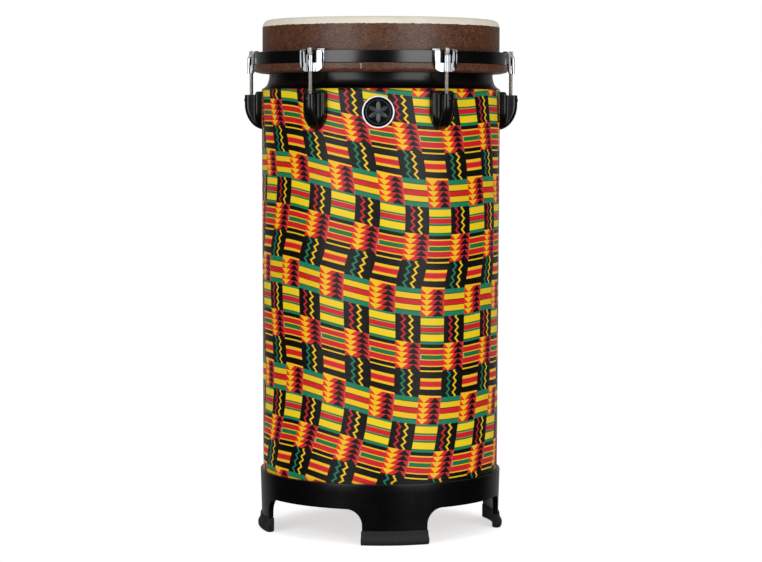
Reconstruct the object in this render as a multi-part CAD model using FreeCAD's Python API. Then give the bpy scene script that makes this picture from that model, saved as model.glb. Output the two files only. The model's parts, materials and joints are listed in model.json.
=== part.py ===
"""Tube djembe: a rope-free, mechanically tuned hand drum with a cloth-wrapped tubular shell.

Millimetres, +Z up. The origin is on the floor, on the drum's axis. The badge faces -Y.
Angles of repeated pieces are counted from -Y towards +X. One STEP file per sub-part goes to parts/.
"""
import FreeCAD, Part
import math
import os

V = FreeCAD.Vector
X_AXIS = V(1, 0, 0)
Z_AXIS = V(0, 0, 1)
TOL = 0.01
OVERSHOOT = 5.0

# ---- heights from the floor
SHELL_BOTTOM = 50.0
SHELL_TOP = 561.6
HEAD_TOP = 649.5
SKIN_EDGE = 640.6
FLANGE_BOTTOM = 583.0
FLANGE_TOP = 592.7
HOOP_TOP = 608.3

# ---- shell: a wood-fibre tube that narrows a little towards the floor, wrapped in cloth
SHELL_R_TOP = 151.9
SHELL_R_BOTTOM = 150.25
SHELL_WALL = 8.0
CLOTH = 0.5

# ---- bearing edge ring
NECK_R = 142.7
NECK_BORE_R = 137.9
NECK_FLARE_TOP = 580.0
NECK_LIP = 1.4
NECK_TOP = 628.0
SPIGOT_BOTTOM = 538.0
CREST_R = 146.5
CREST_BOTTOM = 634.0
CREST_ROUND = 642.0
CREST_BORE_TOP = 643.0
CREST_TOP = HEAD_TOP - 1.1

# ---- head
FILM = 0.8
COLLAR_R = 151.4
SHOULDER = 8.7
FLANGE_R = 162.0
FLANGE_ROUND = 4.0
FLESH_BORE_R = 147.2
FLESH_SLEEVE_TOP = 602.0
GLUE_GAP = 0.2
HOOP_R = 161.5
HOOP_BAND = 3.0
HOOP_ROUND = 0.8

# ---- six tuning stations
STATIONS = 6
STATION_STEP = 360.0 / STATIONS
FIRST_STATION = 30.0
ROD_AXIS_R = 166.0
ROD_R = 2.5
ROD_PLAY = 0.35
THREAD_PLAY = 0.08
ROD_GAP = 0.05
ROD_END = 527.0
ROD_SHOULDER = 604.0
ROD_HEAD = 5.6
ROD_HEAD_TOP = 611.2
WASHER_R = 3.7
WASHER_T = 0.9

# ---- hook
HOOK_HALF = 17.5
HOOK_BOTTOM = 582.0
HOOK_TOP = 610.3
HOOK_SHEET = 1.5
HOOK_CORNER = 12.5
HOOK_FRONT = 164.0
HOOK_LIP_R = 157.2
HOOK_LIP_DROP = 7.0
CHANNEL_FRONT = 171.0
CHANNEL_HALF = 4.2
CHANNEL_BORE = 2.95
CHANNEL_ROUND = 2.4
SLOT_HALF = 9.6
SLOT_BOTTOM = 592.5

# ---- lug
LUG_DEEP = 148.0
LUG_HALF = 15.5
LUG_PLATE_R = 160.5
LUG_PLATE_TOP = 559.2
LUG_PLATE_STRAIGHT = 530.0
LUG_BOTTOM = 510.0
LUG_SHIELD_BOWL = 535.0
LUG_SLOPE = 3.0
LUG_CORNER = 4.0
BOSS_HALF = 7.25
BOSS_R = 174.5
BOSS_TOP = 555.0
BOSS_STRAIGHT = 543.0
PAD_R = 2.4
PAD_PROUD = 0.9
PAD_ABOVE_STRAIGHT = 5.5
INSERT_R = 4.5
INSERT_TOP = 553.0
INSERT_BOTTOM = 540.0
ROD_BORE_BOTTOM = 521.0

# ---- screws that hold the lugs, from inside the shell
LUG_SCREWS_Z = (549.0, 522.0)
SCREW_R = 2.0
SCREW_PLAY = 0.25
SCREW_HEAD_R = 4.2
SCREW_HEAD_H = 2.6
SCREW_HEAD_ROUND = 1.2
SCREW_WASHER_R = 6.0
SCREW_WASHER_T = 1.0
SCREW_TIP_R = 159.5

# ---- badge
BADGE_Z = 533.0
BADGE_R = 19.8
BADGE_RIM = 2.2
BADGE_RIM_PROUD = 2.4
BADGE_FACE_PROUD = 1.5
MOTIF_PROUD = 2.0
MOTIF_RING_R = 15.2
MOTIF_RING_BAND = 0.8
PETALS = 6
PETAL_REACH = 12.6
PETAL_SIDE_R = 9.5
HUB_R = 2.6

# ---- base ring and its rubber shoes
BASE_TOP = 76.0
BASE_BOTTOM = 44.4
BASE_R_TOP = 154.5
BASE_R_BOTTOM = 153.6
BASE_ROUND = 1.2
LEDGE_R = 142.0
LEGS = 4
FIRST_LEG = 8.3
LEG_HALF_DEG = 15.5
LEG_INNER_R = 146.8
LEG_END = 4.0
ARCH_FILLET = 20.0
SHOE_TOP = 18.0
SHOE_PROUD = 1.0
SHOE_FLARE = 3.2
SHOE_ROUND = 3.0
BASE_SCREWS = 8
BASE_SCREW_Z = 63.0
BASE_SCREW_TIP = 3.0
BASE_SCREW_HEAD_R = 3.8

os.makedirs("parts", exist_ok=True)


# ---------------------------------------------------------------- helpers
def save(name, shape):
    shape.exportStep(f"parts/{name}.step")


def turned(shape, degrees):
    """The shape, made on the +X side, moved to an angle counted from -Y towards +X."""
    copy = shape.copy()
    copy.rotate(V(0, 0, 0), Z_AXIS, degrees - 90.0)
    return copy


def edge(start, end):
    return Part.LineSegment(start, end).toShape()


def outline(points):
    """A closed wire of straight edges through points."""
    return Part.makePolygon(points + [points[0]])


def revolved(wire, degrees=360.0, start=0.0):
    """A solid of revolution from a wire in the XZ plane, spanning degrees from a start angle."""
    solid = Part.Face(wire).revolve(V(0, 0, 0), Z_AXIS, degrees)
    solid.rotate(V(0, 0, 0), Z_AXIS, start)
    return solid


def arc(start, middle, end):
    return Part.Arc(start, middle, end).toShape()


def xz(r, z):
    return V(r, 0, z)


def shell_r(z):
    """Outer radius of the bare shell at a height."""
    share = (z - SHELL_BOTTOM) / (SHELL_TOP - SHELL_BOTTOM)
    return SHELL_R_BOTTOM + share * (SHELL_R_TOP - SHELL_R_BOTTOM)


def cloth_r(z):
    """Outer radius of the cloth at a height."""
    return shell_r(z) + CLOTH


def tube(inner, outer, low, high):
    """A tube between two radius functions of height."""
    points = [xz(inner(low), low), xz(outer(low), low), xz(outer(high), high), xz(inner(high), high)]
    return revolved(outline(points))


def prism_y(wire, half):
    """A wire in the XZ plane extruded to both sides of it."""
    solid = Part.Face(wire).extrude(V(0, 2 * half, 0))
    solid.translate(V(0, -half, 0))
    return solid


def quarter_ellipse(start, end):
    """A quarter ellipse in the XZ plane, taller than wide: upright at start, level at end."""
    return Part.Ellipse(end, start, xz(end.x, start.z)).toShape(0, math.pi / 2)


def radial_rod(radius, start, end, z):
    """A cylinder along +X at a height."""
    return Part.makeCylinder(radius, end - start, V(start, 0, z), X_AXIS)


def at_stations(shape):
    """Copies of a shape at every tuning station."""
    return [turned(shape, FIRST_STATION + index * STATION_STEP) for index in range(STATIONS)]


def lug_screw_holes(heights):
    """Clearance holes through the shell wall behind every lug."""
    holes = []
    for z in heights:
        hole = radial_rod(SCREW_R + SCREW_PLAY, NECK_BORE_R - OVERSHOOT, SHELL_R_TOP + OVERSHOOT, z)
        holes.extend(at_stations(hole))
    return holes


def base_screw_holes(end):
    """Screw holes round the foot of the shell, as deep as the radius end."""
    hole = radial_rod(SCREW_R, LEDGE_R - OVERSHOOT, end, BASE_SCREW_Z)
    return [turned(hole, base_screw_angle(index)) for index in range(BASE_SCREWS)]


# ---------------------------------------------------------------- shell and cloth
def make_shell():
    wall = tube(lambda z: shell_r(z) - SHELL_WALL, shell_r, SHELL_BOTTOM, SHELL_TOP)
    holes = lug_screw_holes(LUG_SCREWS_Z) + base_screw_holes(SHELL_R_TOP + OVERSHOOT)
    return wall.cut(Part.makeCompound(holes))


def make_cloth():
    sleeve = tube(shell_r, cloth_r, SHELL_BOTTOM, SHELL_TOP)
    holes = lug_screw_holes(LUG_SCREWS_Z) + base_screw_holes(SHELL_R_TOP + OVERSHOOT)
    return sleeve.cut(Part.makeCompound(holes))


# ---------------------------------------------------------------- bearing edge ring
def make_bearing_edge_ring():
    """Black ring: a spigot in the shell, a flared lip on it, a neck, and the rounded bearing edge."""
    lip_r = cloth_r(SHELL_TOP) - 0.3
    lip_top = SHELL_TOP + NECK_LIP
    flare_wide = lip_r - NECK_R
    flare_tall = NECK_FLARE_TOP - lip_top
    flare_mid = xz(NECK_R + flare_wide * (1 - math.sqrt(0.5)), lip_top + flare_tall * (1 - math.sqrt(0.5)))
    socket_r = shell_r(SHELL_TOP) - SHELL_WALL
    spigot_r = shell_r(SPIGOT_BOTTOM) - SHELL_WALL
    crest_mid = 0.5 * (NECK_BORE_R + CREST_R) - 0.6
    crest_shoulder = xz(CREST_R - 1.4, CREST_TOP - 2.2)
    edges = [
        edge(xz(NECK_BORE_R, SPIGOT_BOTTOM), xz(spigot_r, SPIGOT_BOTTOM)),
        edge(xz(spigot_r, SPIGOT_BOTTOM), xz(socket_r, SHELL_TOP)),
        edge(xz(socket_r, SHELL_TOP), xz(lip_r, SHELL_TOP)),
        edge(xz(lip_r, SHELL_TOP), xz(lip_r, lip_top)),
        arc(xz(lip_r, lip_top), flare_mid, xz(NECK_R, NECK_FLARE_TOP)),
        edge(xz(NECK_R, NECK_FLARE_TOP), xz(NECK_R, NECK_TOP)),
        edge(xz(NECK_R, NECK_TOP), xz(CREST_R, CREST_BOTTOM)),
        edge(xz(CREST_R, CREST_BOTTOM), xz(CREST_R, CREST_ROUND)),
        arc(xz(CREST_R, CREST_ROUND), crest_shoulder, xz(crest_mid, CREST_TOP)),
        edge(xz(crest_mid, CREST_TOP), xz(NECK_BORE_R, CREST_BORE_TOP)),
        edge(xz(NECK_BORE_R, CREST_BORE_TOP), xz(NECK_BORE_R, SPIGOT_BOTTOM)),
    ]
    ring = revolved(Part.Wire(edges))
    return ring.cut(Part.makeCompound(lug_screw_holes([max(LUG_SCREWS_Z)])))


# ---------------------------------------------------------------- head
def make_head_skin():
    """Flat cream film with a rounded shoulder."""
    flat_r = COLLAR_R - SHOULDER
    centre_z = HEAD_TOP - SHOULDER
    root = math.sqrt(0.5)
    outer_mid = xz(flat_r + SHOULDER * root, centre_z + SHOULDER * root)
    inner = SHOULDER - FILM
    inner_mid = xz(flat_r + inner * root, centre_z + inner * root)
    edges = [
        edge(xz(0, HEAD_TOP - FILM), xz(0, HEAD_TOP)),
        edge(xz(0, HEAD_TOP), xz(flat_r, HEAD_TOP)),
        arc(xz(flat_r, HEAD_TOP), outer_mid, xz(COLLAR_R, centre_z)),
        edge(xz(COLLAR_R, centre_z), xz(COLLAR_R, SKIN_EDGE)),
        edge(xz(COLLAR_R, SKIN_EDGE), xz(COLLAR_R - FILM, SKIN_EDGE)),
        edge(xz(COLLAR_R - FILM, SKIN_EDGE), xz(COLLAR_R - FILM, centre_z)),
        arc(xz(COLLAR_R - FILM, centre_z), inner_mid, xz(flat_r, HEAD_TOP - FILM)),
        edge(xz(flat_r, HEAD_TOP - FILM), xz(0, HEAD_TOP - FILM)),
    ]
    return revolved(Part.Wire(edges))


def make_head_collar():
    """Brown film skirt from the skin's edge down to the flesh hoop's flange."""
    return tube(lambda z: COLLAR_R - FILM, lambda z: COLLAR_R, FLANGE_TOP, SKIN_EDGE)


def make_flesh_hoop():
    """Ring inside the skirt with an outward flange that the counter hoop presses on."""
    sleeve_r = COLLAR_R - FILM - GLUE_GAP
    low = FLANGE_BOTTOM
    bend_top = low + FLANGE_ROUND
    bore_bottom = low - 1.5
    under = xz(FLANGE_R - 7.0, low - 1.0)
    edges = [
        edge(xz(FLESH_BORE_R, bore_bottom), xz(FLESH_BORE_R, FLESH_SLEEVE_TOP)),
        edge(xz(FLESH_BORE_R, FLESH_SLEEVE_TOP), xz(sleeve_r, FLESH_SLEEVE_TOP)),
        edge(xz(sleeve_r, FLESH_SLEEVE_TOP), xz(sleeve_r, FLANGE_TOP)),
        edge(xz(sleeve_r, FLANGE_TOP), xz(FLANGE_R - 0.8, FLANGE_TOP)),
        edge(xz(FLANGE_R - 0.8, FLANGE_TOP), xz(FLANGE_R, FLANGE_TOP - 0.8)),
        edge(xz(FLANGE_R, FLANGE_TOP - 0.8), xz(FLANGE_R, bend_top)),
        arc(xz(FLANGE_R, bend_top), xz(FLANGE_R - 2.0, low + 0.9), under),
        edge(under, xz(FLESH_BORE_R, bore_bottom)),
    ]
    return revolved(Part.Wire(edges))


def make_counter_hoop():
    """Flat steel band that stands on the flesh hoop's flange."""
    band = tube(lambda z: HOOP_R - HOOP_BAND, lambda z: HOOP_R, FLANGE_TOP, HOOP_TOP)
    rims = [e for e in band.Edges if abs(e.BoundBox.ZMax - HOOP_TOP) < TOL and e.BoundBox.ZLength < TOL]
    return band.makeFillet(HOOP_ROUND, rims)


# ---------------------------------------------------------------- tuning station pieces
def hook_profile():
    """Side view of the pressed sheet: front wall, rounded top over the hoop, and the lip behind it."""
    back = HOOK_FRONT - HOOK_SHEET
    lip_back = HOOK_LIP_R - HOOK_SHEET
    under = HOOK_TOP - HOOK_SHEET
    lip_bottom = HOOK_TOP - HOOK_LIP_DROP
    return outline([
        xz(back, HOOK_BOTTOM),
        xz(HOOK_FRONT, HOOK_BOTTOM),
        xz(HOOK_FRONT, HOOK_TOP - 3.4),
        xz(HOOK_FRONT - 1.4, HOOK_TOP - 0.7),
        xz(HOOK_FRONT - 3.4, HOOK_TOP),
        xz(lip_back + 1.4, HOOK_TOP),
        xz(lip_back, HOOK_TOP - 1.4),
        xz(lip_back, lip_bottom),
        xz(HOOK_LIP_R, lip_bottom),
        xz(HOOK_LIP_R, under),
        xz(back - 0.6, under),
        xz(back, under - 1.2),
    ])


def hook_channel():
    """The rounded channel in front of the claw, and the space the rod needs inside it."""
    back = HOOK_FRONT - HOOK_SHEET
    channel = Part.makeBox(
        CHANNEL_FRONT - back, 2 * CHANNEL_HALF, ROD_SHOULDER - HOOK_BOTTOM, V(back, -CHANNEL_HALF, HOOK_BOTTOM)
    )
    fronts = [
        e for e in channel.Edges
        if e.BoundBox.XMin > CHANNEL_FRONT - TOL
        and (e.BoundBox.YLength < TOL or abs(e.BoundBox.ZMin - ROD_SHOULDER) < TOL)
    ]
    inner_front = CHANNEL_FRONT - HOOK_SHEET
    inner_top = ROD_SHOULDER - HOOK_SHEET
    space = Part.makeBox(
        inner_front - back + OVERSHOOT, 2 * CHANNEL_BORE, inner_top - HOOK_BOTTOM + OVERSHOOT,
        V(back - OVERSHOOT, -CHANNEL_BORE, HOOK_BOTTOM - OVERSHOOT),
    )
    corners = [e for e in space.Edges if e.BoundBox.XMin > inner_front - TOL and e.BoundBox.YLength < TOL]
    hole = Part.makeCylinder(ROD_R + ROD_PLAY, 2 * OVERSHOOT, V(ROD_AXIS_R, 0, ROD_SHOULDER - OVERSHOOT))
    space = space.makeFillet(CHANNEL_ROUND - HOOK_SHEET + 0.4, corners).fuse(hole)
    return channel.makeFillet(CHANNEL_ROUND, fronts), space


def make_hook():
    """Pressed claw: two wings over the counter hoop, and a channel in the middle for the rod."""
    claw = prism_y(hook_profile(), HOOK_HALF)
    corners = [
        e for e in claw.Edges
        if abs(e.BoundBox.ZMax - HOOK_BOTTOM) < TOL and e.BoundBox.XLength > 1 and e.BoundBox.YLength < TOL
    ]
    claw = claw.makeFillet(HOOK_CORNER, corners)
    slot_start = V(HOOK_LIP_R - 2 * OVERSHOOT, -SLOT_HALF, SLOT_BOTTOM)
    slot = Part.makeBox(8 * OVERSHOOT, 2 * SLOT_HALF, 8 * OVERSHOOT, slot_start)
    channel, space = hook_channel()
    return claw.cut(slot).fuse(channel).cut(space).removeSplitter()


def make_tension_rod():
    """Threaded rod with a square drum-key head, standing on its round flange."""
    low = ROD_SHOULDER + ROD_GAP
    shank = Part.makeCylinder(ROD_R, low - ROD_END, V(ROD_AXIS_R, 0, ROD_END))
    tip = [e for e in shank.Edges if abs(e.BoundBox.ZMax - ROD_END) < TOL]
    shank = shank.makeChamfer(0.8, tip)
    flange = Part.makeCylinder(WASHER_R, WASHER_T, V(ROD_AXIS_R, 0, low))
    half = ROD_HEAD / 2
    head = Part.makeBox(ROD_HEAD, ROD_HEAD, ROD_HEAD_TOP - low, V(ROD_AXIS_R - half, -half, low))
    uprights = [e for e in head.Edges if e.BoundBox.ZLength > 1]
    head = head.makeFillet(0.7, uprights)
    crown = [e for e in head.Edges if e.BoundBox.ZMin > ROD_HEAD_TOP - TOL]
    head = head.makeChamfer(0.6, crown)
    return shank.fuse(flange).fuse(head).removeSplitter()


def lug_plate():
    """The shield-shaped plate against the shell, thinner at its lower end."""
    top = LUG_PLATE_TOP
    straight = LUG_PLATE_STRAIGHT
    slope_end = xz(LUG_PLATE_R, top - 1.4 * LUG_SLOPE)
    side = Part.Wire([
        edge(xz(LUG_DEEP, LUG_BOTTOM), xz(LUG_DEEP, top)),
        edge(xz(LUG_DEEP, top), xz(LUG_PLATE_R - LUG_SLOPE, top)),
        edge(xz(LUG_PLATE_R - LUG_SLOPE, top), slope_end),
        edge(slope_end, xz(LUG_PLATE_R, straight)),
        quarter_ellipse(xz(LUG_PLATE_R, straight), xz(LUG_DEEP, LUG_BOTTOM)),
    ])
    bowl = LUG_SHIELD_BOWL
    bottom = V(LUG_DEEP, 0, LUG_BOTTOM)
    bowl_side = V(LUG_DEEP, LUG_HALF, bowl)
    bowl_centre = V(LUG_DEEP, 0, bowl)
    front = Part.Wire([
        edge(V(LUG_DEEP, -LUG_HALF, bowl), V(LUG_DEEP, -LUG_HALF, top)),
        edge(V(LUG_DEEP, -LUG_HALF, top), V(LUG_DEEP, LUG_HALF, top)),
        edge(V(LUG_DEEP, LUG_HALF, top), bowl_side),
        Part.Ellipse(bottom, bowl_side, bowl_centre).toShape(-math.pi / 2, math.pi / 2),
    ])
    shield = Part.Face(front).extrude(V(2 * (BOSS_R - LUG_DEEP), 0, 0))
    top_corners = [e for e in shield.Edges if e.BoundBox.ZMin > top - TOL and e.BoundBox.YLength < TOL]
    return prism_y(side, LUG_HALF).common(shield.makeFillet(LUG_CORNER, top_corners))


def lug_boss():
    """The boss that takes the rod, with rounded front edges and a small pad near its top."""
    side = Part.Wire([
        edge(xz(LUG_DEEP, LUG_BOTTOM), xz(LUG_DEEP, BOSS_TOP)),
        edge(xz(LUG_DEEP, BOSS_TOP), xz(BOSS_R, BOSS_TOP)),
        edge(xz(BOSS_R, BOSS_TOP), xz(BOSS_R, BOSS_STRAIGHT)),
        quarter_ellipse(xz(BOSS_R, BOSS_STRAIGHT), xz(LUG_DEEP, LUG_BOTTOM)),
    ])
    boss = prism_y(side, BOSS_HALF)
    rim = [
        e for e in boss.Edges
        if e.BoundBox.YLength < TOL and e.BoundBox.XMax > BOSS_R - TOL and e.BoundBox.ZLength > 1
    ]
    pad = radial_rod(PAD_R, ROD_AXIS_R, BOSS_R + PAD_PROUD, BOSS_STRAIGHT + PAD_ABOVE_STRAIGHT)
    return boss.makeFillet(LUG_CORNER, rim).fuse(pad)


def make_lug():
    """Moulded lug: the plate and the boss, hollowed for the shell, the rod, its insert and two screws."""
    below = LUG_BOTTOM - OVERSHOOT
    above = LUG_PLATE_TOP + OVERSHOOT
    core = revolved(outline([xz(0, below), xz(cloth_r(below), below), xz(cloth_r(above), above), xz(0, above)]))
    bore_r = ROD_R + ROD_PLAY
    bore = Part.makeCylinder(bore_r, BOSS_TOP - ROD_BORE_BOTTOM + 1, V(ROD_AXIS_R, 0, ROD_BORE_BOTTOM))
    socket = Part.makeCylinder(INSERT_R, INSERT_TOP - INSERT_BOTTOM, V(ROD_AXIS_R, 0, INSERT_BOTTOM))
    mouth = Part.makeCone(bore_r, bore_r + 0.8, 0.8, V(ROD_AXIS_R, 0, BOSS_TOP - 0.8))
    body = lug_plate().fuse(lug_boss()).cut(core).cut(bore).cut(socket).cut(mouth)
    for z in LUG_SCREWS_Z:
        body = body.cut(radial_rod(SCREW_R, SHELL_R_BOTTOM, SCREW_TIP_R + 0.5, z))
    return body.removeSplitter()


def make_insert():
    """Threaded steel insert moulded into the boss."""
    height = INSERT_TOP - INSERT_BOTTOM
    foot = V(ROD_AXIS_R, 0, INSERT_BOTTOM)
    return Part.makeCylinder(INSERT_R, height, foot).cut(Part.makeCylinder(ROD_R + THREAD_PLAY, height, foot))


def screw_seat(z):
    """Radius that a lug screw's washer sits at, just inside the inner wall at that height."""
    wall = NECK_BORE_R if z > SPIGOT_BOTTOM else shell_r(z) - SHELL_WALL
    return wall - SCREW_PLAY


def domed_screw(head_r, seat, tip, z):
    """A screw along +X with a rounded head on its inner end."""
    head = radial_rod(head_r, seat - SCREW_HEAD_H, seat, z)
    dome = [e for e in head.Edges if e.BoundBox.XMax < seat - SCREW_HEAD_H + TOL]
    return head.makeFillet(SCREW_HEAD_ROUND, dome).fuse(radial_rod(SCREW_R, seat, tip, z)).removeSplitter()


def make_lug_screw(z):
    return domed_screw(SCREW_HEAD_R, screw_seat(z) - SCREW_WASHER_T, SCREW_TIP_R, z)


def make_lug_washer(z):
    face = screw_seat(z)
    disc = radial_rod(SCREW_WASHER_R, face - SCREW_WASHER_T, face, z)
    return disc.cut(radial_rod(SCREW_R + SCREW_PLAY, face - 2 * SCREW_WASHER_T, face + 1, z))


# ---------------------------------------------------------------- badge
def badge_rod(radius, y=0.0, z=0.0):
    """A cylinder along +X through the badge, off its centre by y and z."""
    return Part.makeCylinder(radius, BADGE_R * 2, V(SHELL_R_TOP - BADGE_R, y, BADGE_Z + z), X_AXIS)


def badge_disc(radius, low, high):
    """A disc on the cloth at badge height, curved with the shell, between two heights above it."""
    bottom = BADGE_Z - 2 * BADGE_R
    top = SHELL_TOP
    inside = 0.7 * SHELL_R_TOP
    inner = tube(lambda z: inside, lambda z: cloth_r(z) + low, bottom, top)
    outer = tube(lambda z: inside, lambda z: cloth_r(z) + high, bottom, top)
    return badge_rod(radius).common(outer).cut(inner)


def make_badge_rim():
    return badge_disc(BADGE_R, 0, BADGE_RIM_PROUD).cut(badge_rod(BADGE_R - BADGE_RIM))


def make_badge_face():
    return badge_disc(BADGE_R - BADGE_RIM, 0, BADGE_FACE_PROUD)


def make_badge_motif():
    """A plain flower of pointed petals inside a thin ring."""
    blank = badge_disc(MOTIF_RING_R, BADGE_FACE_PROUD, MOTIF_PROUD)
    ring = blank.cut(badge_rod(MOTIF_RING_R - MOTIF_RING_BAND))
    half = PETAL_REACH / 2
    apart = math.sqrt(PETAL_SIDE_R ** 2 - half ** 2)
    petals = []
    for index in range(PETALS):
        petal = badge_rod(PETAL_SIDE_R, -apart, half).common(badge_rod(PETAL_SIDE_R, apart, half))
        petal.rotate(V(SHELL_R_TOP, 0, BADGE_Z), X_AXIS, index * 360.0 / PETALS)
        petals.append(petal)
    flower = badge_rod(HUB_R).multiFuse(petals).common(blank)
    return Part.makeCompound([ring, flower.removeSplitter()])


# ---------------------------------------------------------------- base ring and shoes
def base_screw_angle(index):
    return FIRST_LEG + (index + 0.5) * 360.0 / BASE_SCREWS


def leg_wedge(half_deg, low, high):
    """A wide sector about the +X direction, for cutting ring pieces to a leg's width."""
    far = 2 * BASE_R_TOP
    reach = far * math.tan(math.radians(half_deg))
    sector = outline([V(0, 0, low), V(far, -reach, low), V(far, reach, low)])
    return Part.Face(sector).extrude(V(0, 0, high - low))


def make_base_ring():
    """Moulded ring round the shell's foot, with a ledge under the shell and four legs."""
    ring = revolved(outline([
        xz(LEDGE_R, BASE_BOTTOM), xz(BASE_R_BOTTOM, BASE_BOTTOM), xz(BASE_R_TOP, BASE_TOP),
        xz(cloth_r(BASE_TOP), BASE_TOP), xz(cloth_r(SHELL_BOTTOM), SHELL_BOTTOM), xz(LEDGE_R, SHELL_BOTTOM),
    ]))
    rim = [e for e in ring.Edges if e.BoundBox.XMax > BASE_R_TOP - TOL and e.BoundBox.ZLength < TOL]
    ring = ring.makeFillet(BASE_ROUND, rim)
    overlap = BASE_BOTTOM + 1
    leg_stock = tube(lambda z: LEG_INNER_R, lambda z: BASE_R_BOTTOM, LEG_END, overlap)
    fillet_deg = math.degrees(ARCH_FILLET / BASE_R_BOTTOM)
    skirt_deg = LEG_HALF_DEG + fillet_deg
    skirt_bottom = BASE_BOTTOM - ARCH_FILLET
    legs = []
    for index in range(LEGS):
        leg = leg_stock.common(leg_wedge(LEG_HALF_DEG, 0, overlap))
        skirt = leg_stock.common(leg_wedge(skirt_deg, skirt_bottom, overlap))
        for side in (-1, 1):
            angle = math.radians(side * skirt_deg)
            direction = V(math.cos(angle), math.sin(angle), 0)
            start = direction * (LEG_INNER_R - ARCH_FILLET)
            start.z = skirt_bottom
            skirt = skirt.cut(Part.makeCylinder(ARCH_FILLET, 3 * ARCH_FILLET, start, direction))
        legs.append(turned(leg.fuse(skirt), FIRST_LEG + index * 360.0 / LEGS))
    holes = base_screw_holes(SHELL_R_BOTTOM + BASE_SCREW_TIP + 0.2)
    return ring.multiFuse(legs).cut(Part.makeCompound(holes)).removeSplitter()


def make_shoe():
    """Rubber shoe pushed over a leg's end, with a rounded, flared sole."""
    inner = LEG_INNER_R - SHOE_PROUD
    outer = BASE_R_BOTTOM + SHOE_PROUD
    toe = outer + SHOE_FLARE
    turn = SHOE_ROUND
    tuck = 0.3 * turn
    profile = Part.Wire([
        edge(xz(inner, SHOE_TOP), xz(outer, SHOE_TOP)),
        arc(xz(outer, SHOE_TOP), xz(outer + 0.7, SHOE_TOP / 2), xz(toe, turn)),
        arc(xz(toe, turn), xz(toe - tuck, tuck), xz(toe - turn, 0)),
        edge(xz(toe - turn, 0), xz(inner + turn, 0)),
        arc(xz(inner + turn, 0), xz(inner + tuck, tuck), xz(inner, turn)),
        edge(xz(inner, turn), xz(inner, SHOE_TOP)),
    ])
    half_deg = LEG_HALF_DEG + math.degrees(SHOE_PROUD / BASE_R_BOTTOM)
    blank = revolved(profile, 2 * half_deg, -half_deg)
    mouth = SHOE_TOP + OVERSHOOT
    leg_section = outline([
        xz(LEG_INNER_R, LEG_END), xz(BASE_R_BOTTOM, LEG_END),
        xz(BASE_R_BOTTOM, mouth), xz(LEG_INNER_R, mouth),
    ])
    return blank.cut(revolved(leg_section, 2 * LEG_HALF_DEG, -LEG_HALF_DEG))


def make_base_screw():
    seat = shell_r(BASE_SCREW_Z) - SHELL_WALL - 0.1
    return domed_screw(BASE_SCREW_HEAD_R, seat, SHELL_R_BOTTOM + BASE_SCREW_TIP, BASE_SCREW_Z)


# ---------------------------------------------------------------- write every sub-part
def save_numbered(name, shapes):
    for number, shape in enumerate(shapes, 1):
        save(f"{name}_{number}", shape)


save("shell", make_shell())
save("cloth_wrap", make_cloth())
save("bearing_edge_ring", make_bearing_edge_ring())
save("head_skin", make_head_skin())
save("head_collar", make_head_collar())
save("flesh_hoop", make_flesh_hoop())
save("counter_hoop", make_counter_hoop())
save("base_ring", make_base_ring())
save("badge_rim", turned(make_badge_rim(), 0))
save("badge_face", turned(make_badge_face(), 0))
save("badge_motif", turned(make_badge_motif(), 0))

save_numbered("hook", at_stations(make_hook()))
save_numbered("tension_rod", at_stations(make_tension_rod()))
save_numbered("lug", at_stations(make_lug()))
save("lug_inserts", Part.makeCompound(at_stations(make_insert())))
lug_screws = [screw for z in LUG_SCREWS_Z for screw in at_stations(make_lug_screw(z))]
lug_washers = [washer for z in LUG_SCREWS_Z for washer in at_stations(make_lug_washer(z))]
save("lug_screws", Part.makeCompound(lug_screws))
save("lug_washers", Part.makeCompound(lug_washers))

shoe = make_shoe()
base_screw = make_base_screw()
save_numbered("foot_shoe", [turned(shoe, FIRST_LEG + index * 360.0 / LEGS) for index in range(LEGS)])
save("base_screws", Part.makeCompound([turned(base_screw, base_screw_angle(i)) for i in range(BASE_SCREWS)]))
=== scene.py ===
"""Looks of the tube djembe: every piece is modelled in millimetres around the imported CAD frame.

Angles are degrees counted from -Y, the badge's side, towards +X.
"""
import bmesh
import bpy
import json
from math import atan2, copysign, cos, hypot, pi, radians, sin, sqrt, tan
from math import degrees as in_degrees
from mathutils import Matrix, Vector, noise

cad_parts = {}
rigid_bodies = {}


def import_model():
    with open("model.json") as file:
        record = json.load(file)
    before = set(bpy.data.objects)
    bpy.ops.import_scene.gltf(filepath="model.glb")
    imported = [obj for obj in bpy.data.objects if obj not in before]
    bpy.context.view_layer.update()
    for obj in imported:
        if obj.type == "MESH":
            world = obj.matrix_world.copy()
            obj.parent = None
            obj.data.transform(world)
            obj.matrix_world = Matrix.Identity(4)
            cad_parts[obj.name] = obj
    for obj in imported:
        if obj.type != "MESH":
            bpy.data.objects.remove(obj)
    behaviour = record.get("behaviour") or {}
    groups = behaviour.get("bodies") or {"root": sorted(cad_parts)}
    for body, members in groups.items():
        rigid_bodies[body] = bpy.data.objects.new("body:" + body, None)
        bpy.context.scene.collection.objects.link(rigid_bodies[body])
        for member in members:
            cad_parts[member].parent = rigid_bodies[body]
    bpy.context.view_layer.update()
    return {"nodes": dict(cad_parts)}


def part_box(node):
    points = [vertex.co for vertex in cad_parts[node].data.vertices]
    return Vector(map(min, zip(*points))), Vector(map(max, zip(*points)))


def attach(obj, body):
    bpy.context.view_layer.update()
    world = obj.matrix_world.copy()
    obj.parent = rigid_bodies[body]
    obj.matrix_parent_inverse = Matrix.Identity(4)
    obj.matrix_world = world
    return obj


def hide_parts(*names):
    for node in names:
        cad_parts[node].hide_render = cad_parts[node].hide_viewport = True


MM = 0.001
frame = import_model()


def top(node):
    return round(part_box(node)[1].z / MM, 1)


def bottom(node):
    return round(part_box(node)[0].z / MM, 1)


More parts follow.
